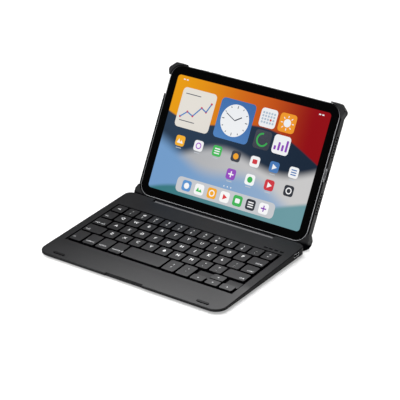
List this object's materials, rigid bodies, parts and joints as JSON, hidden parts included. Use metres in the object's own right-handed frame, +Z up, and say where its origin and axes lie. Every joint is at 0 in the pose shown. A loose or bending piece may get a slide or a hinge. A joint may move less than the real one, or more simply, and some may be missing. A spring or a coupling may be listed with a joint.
{
  "type": "tablet keyboard case",
  "caption": "Keyboard case for a small tablet: wedge-shaped keyboard base, friction-hinged tray shell with corner bumpers, and the tablet seated in it.",
  "frame": {"origin": "middle of the open case's footprint, on the table", "axes": "+X to the typist's right, +Y to the rear, +Z up"},
  "size_m": [0.2074, 0.222, 0.1271],
  "materials": {
    "deck_plastic": "fine matte texture, charcoal",
    "shell_plastic": "fine matte texture, dark charcoal",
    "bumper_rubber": "smooth matte elastomer",
    "trim_plastic": "satin, mid grey",
    "key_plastic": "matte, charcoal",
    "black_rubber": "matte",
    "steel": "plated",
    "cell_pouch": "laminate pouch",
    "board": "solder mask",
    "lamp_window": "translucent",
    "tablet_metal": "bead-blasted, anodised grey",
    "cover_glass": "polished",
    "display": "lit colour display"
  },
  "bodies": {
    "base": {"top_deck": "deck_plastic", "bottom_cover": "deck_plastic", "hinge_trim": "trim_plastic", "key_membrane": "black_rubber", "key_plate": "steel", "battery_pack": "cell_pouch", "main_board": "board", "charging_port": "steel", "led_light_pipes": "lamp_window", "switch_board": "board", "rest_pads": "black_rubber", "rubber_feet": "black_rubber", "case_screws": "steel", "hinge_bracket_left": "steel", "hinge_bracket_right": "steel", "hinge_screws": "steel"},
    "lid": {"back_shell": "shell_plastic", "bumper_top_left": "bumper_rubber", "bumper_top_right": "bumper_rubber", "bumper_bottom_left": "bumper_rubber", "bumper_bottom_right": "bumper_rubber", "hinge_spine": "shell_plastic", "hinge_shaft_left": "steel", "hinge_shaft_right": "steel"},
    "tablet": {"tablet_housing": "tablet_metal", "cover_glass": "cover_glass", "display_panel": "display", "tablet_battery": "cell_pouch", "tablet_board": "board", "camera_lens": "cover_glass"},
    "power_switch": {"power_switch": "deck_plastic"},
    "tablet_power_button": {"tablet_power_button": "tablet_metal"},
    "volume_up_button": {"volume_up_button": "tablet_metal"},
    "volume_down_button": {"volume_down_button": "tablet_metal"},
    "number_keys": {"number_keys": "key_plastic"},
    "tab_key": {"tab_key": "key_plastic"},
    "upper_letter_keys": {"upper_letter_keys": "key_plastic"},
    "delete_key": {"delete_key": "key_plastic"},
    "caps_key": {"caps_key": "key_plastic"},
    "middle_letter_keys": {"middle_letter_keys": "key_plastic"},
    "enter_key": {"enter_key": "key_plastic"},
    "left_shift_key": {"left_shift_key": "key_plastic"},
    "lower_letter_keys": {"lower_letter_keys": "key_plastic"},
    "right_shift_key": {"right_shift_key": "key_plastic"},
    "fn_key": {"fn_key": "key_plastic"},
    "ctrl_key": {"ctrl_key": "key_plastic"},
    "alt_key": {"alt_key": "key_plastic"},
    "cmd_key": {"cmd_key": "key_plastic"},
    "space_key": {"space_key": "key_plastic"},
    "right_cmd_key": {"right_cmd_key": "key_plastic"},
    "right_alt_key": {"right_alt_key": "key_plastic"},
    "left_arrow_key": {"left_arrow_key": "key_plastic"},
    "up_arrow_key": {"up_arrow_key": "key_plastic"},
    "down_arrow_key": {"down_arrow_key": "key_plastic"},
    "right_arrow_key": {"right_arrow_key": "key_plastic"}
  },
  "joints": [
    {"name": "lid_hinge", "type": "hinge", "parent": "base", "child": "lid", "pos_m": [0, 0.03316, 0.00597], "axis": [-1, 0, 0], "range_deg": [-120, 0]},
    {"name": "tablet_lift_out", "type": "slide", "parent": "lid", "child": "tablet", "axis": [0, -0.8829, 0.4695], "range_m": [0, 0.016]},
    {"name": "power_switch_slide", "type": "slide", "parent": "base", "child": "power_switch", "axis": [0, -1, 0], "range_m": [0, 0.0024]},
    {"name": "tablet_power_press", "type": "slide", "parent": "tablet", "child": "tablet_power_button", "axis": [1, 0, 0], "range_m": [0, 0.00025], "stiffness_N_per_m": 4000},
    {"name": "volume_up_press", "type": "slide", "parent": "tablet", "child": "volume_up_button", "axis": [0, -0.4695, -0.8829], "range_m": [0, 0.00025], "stiffness_N_per_m": 4000},
    {"name": "volume_down_press", "type": "slide", "parent": "tablet", "child": "volume_down_button", "axis": [0, -0.4695, -0.8829], "range_m": [0, 0.00025], "stiffness_N_per_m": 4000},
    {"name": "number_press", "type": "slide", "parent": "base", "child": "number_keys", "axis": [0, 0.0349, -0.9994], "range_m": [0, 0.0012], "stiffness_N_per_m": 1200},
    {"name": "tab_press", "type": "slide", "parent": "base", "child": "tab_key", "axis": [0, 0.0349, -0.9994], "range_m": [0, 0.0012], "stiffness_N_per_m": 400},
    {"name": "upper_letter_press", "type": "slide", "parent": "base", "child": "upper_letter_keys", "axis": [0, 0.0349, -0.9994], "range_m": [0, 0.0012], "stiffness_N_per_m": 1200},
    {"name": "delete_press", "type": "slide", "parent": "base", "child": "delete_key", "axis": [0, 0.0349, -0.9994], "range_m": [0, 0.0012], "stiffness_N_per_m": 400},
    {"name": "caps_press", "type": "slide", "parent": "base", "child": "caps_key", "axis": [0, 0.0349, -0.9994], "range_m": [0, 0.0012], "stiffness_N_per_m": 400},
    {"name": "middle_letter_press", "type": "slide", "parent": "base", "child": "middle_letter_keys", "axis": [0, 0.0349, -0.9994], "range_m": [0, 0.0012], "stiffness_N_per_m": 1200},
    {"name": "enter_press", "type": "slide", "parent": "base", "child": "enter_key", "axis": [0, 0.0349, -0.9994], "range_m": [0, 0.0012], "stiffness_N_per_m": 400},
    {"name": "left_shift_press", "type": "slide", "parent": "base", "child": "left_shift_key", "axis": [0, 0.0349, -0.9994], "range_m": [0, 0.0012], "stiffness_N_per_m": 400},
    {"name": "lower_letter_press", "type": "slide", "parent": "base", "child": "lower_letter_keys", "axis": [0, 0.0349, -0.9994], "range_m": [0, 0.0012], "stiffness_N_per_m": 1200},
    {"name": "right_shift_press", "type": "slide", "parent": "base", "child": "right_shift_key", "axis": [0, 0.0349, -0.9994], "range_m": [0, 0.0012], "stiffness_N_per_m": 400},
    {"name": "fn_press", "type": "slide", "parent": "base", "child": "fn_key", "axis": [0, 0.0349, -0.9994], "range_m": [0, 0.0012], "stiffness_N_per_m": 400},
    {"name": "ctrl_press", "type": "slide", "parent": "base", "child": "ctrl_key", "axis": [0, 0.0349, -0.9994], "range_m": [0, 0.0012], "stiffness_N_per_m": 400},
    {"name": "alt_press", "type": "slide", "parent": "base", "child": "alt_key", "axis": [0, 0.0349, -0.9994], "range_m": [0, 0.0012], "stiffness_N_per_m": 400},
    {"name": "cmd_press", "type": "slide", "parent": "base", "child": "cmd_key", "axis": [0, 0.0349, -0.9994], "range_m": [0, 0.0012], "stiffness_N_per_m": 400},
    {"name": "space_press", "type": "slide", "parent": "base", "child": "space_key", "axis": [0, 0.0349, -0.9994], "range_m": [0, 0.0012], "stiffness_N_per_m": 400},
    {"name": "right_cmd_press", "type": "slide", "parent": "base", "child": "right_cmd_key", "axis": [0, 0.0349, -0.9994], "range_m": [0, 0.0012], "stiffness_N_per_m": 400},
    {"name": "right_alt_press", "type": "slide", "parent": "base", "child": "right_alt_key", "axis": [0, 0.0349, -0.9994], "range_m": [0, 0.0012], "stiffness_N_per_m": 400},
    {"name": "left_arrow_press", "type": "slide", "parent": "base", "child": "left_arrow_key", "axis": [0, 0.0349, -0.9994], "range_m": [0, 0.0012], "stiffness_N_per_m": 400},
    {"name": "up_arrow_press", "type": "slide", "parent": "base", "child": "up_arrow_key", "axis": [0, 0.0349, -0.9994], "range_m": [0, 0.0012], "stiffness_N_per_m": 400},
    {"name": "down_arrow_press", "type": "slide", "parent": "base", "child": "down_arrow_key", "axis": [0, 0.0349, -0.9994], "range_m": [0, 0.0012], "stiffness_N_per_m": 400},
    {"name": "right_arrow_press", "type": "slide", "parent": "base", "child": "right_arrow_key", "axis": [0, 0.0349, -0.9994], "range_m": [0, 0.0012], "stiffness_N_per_m": 400}
  ]
}
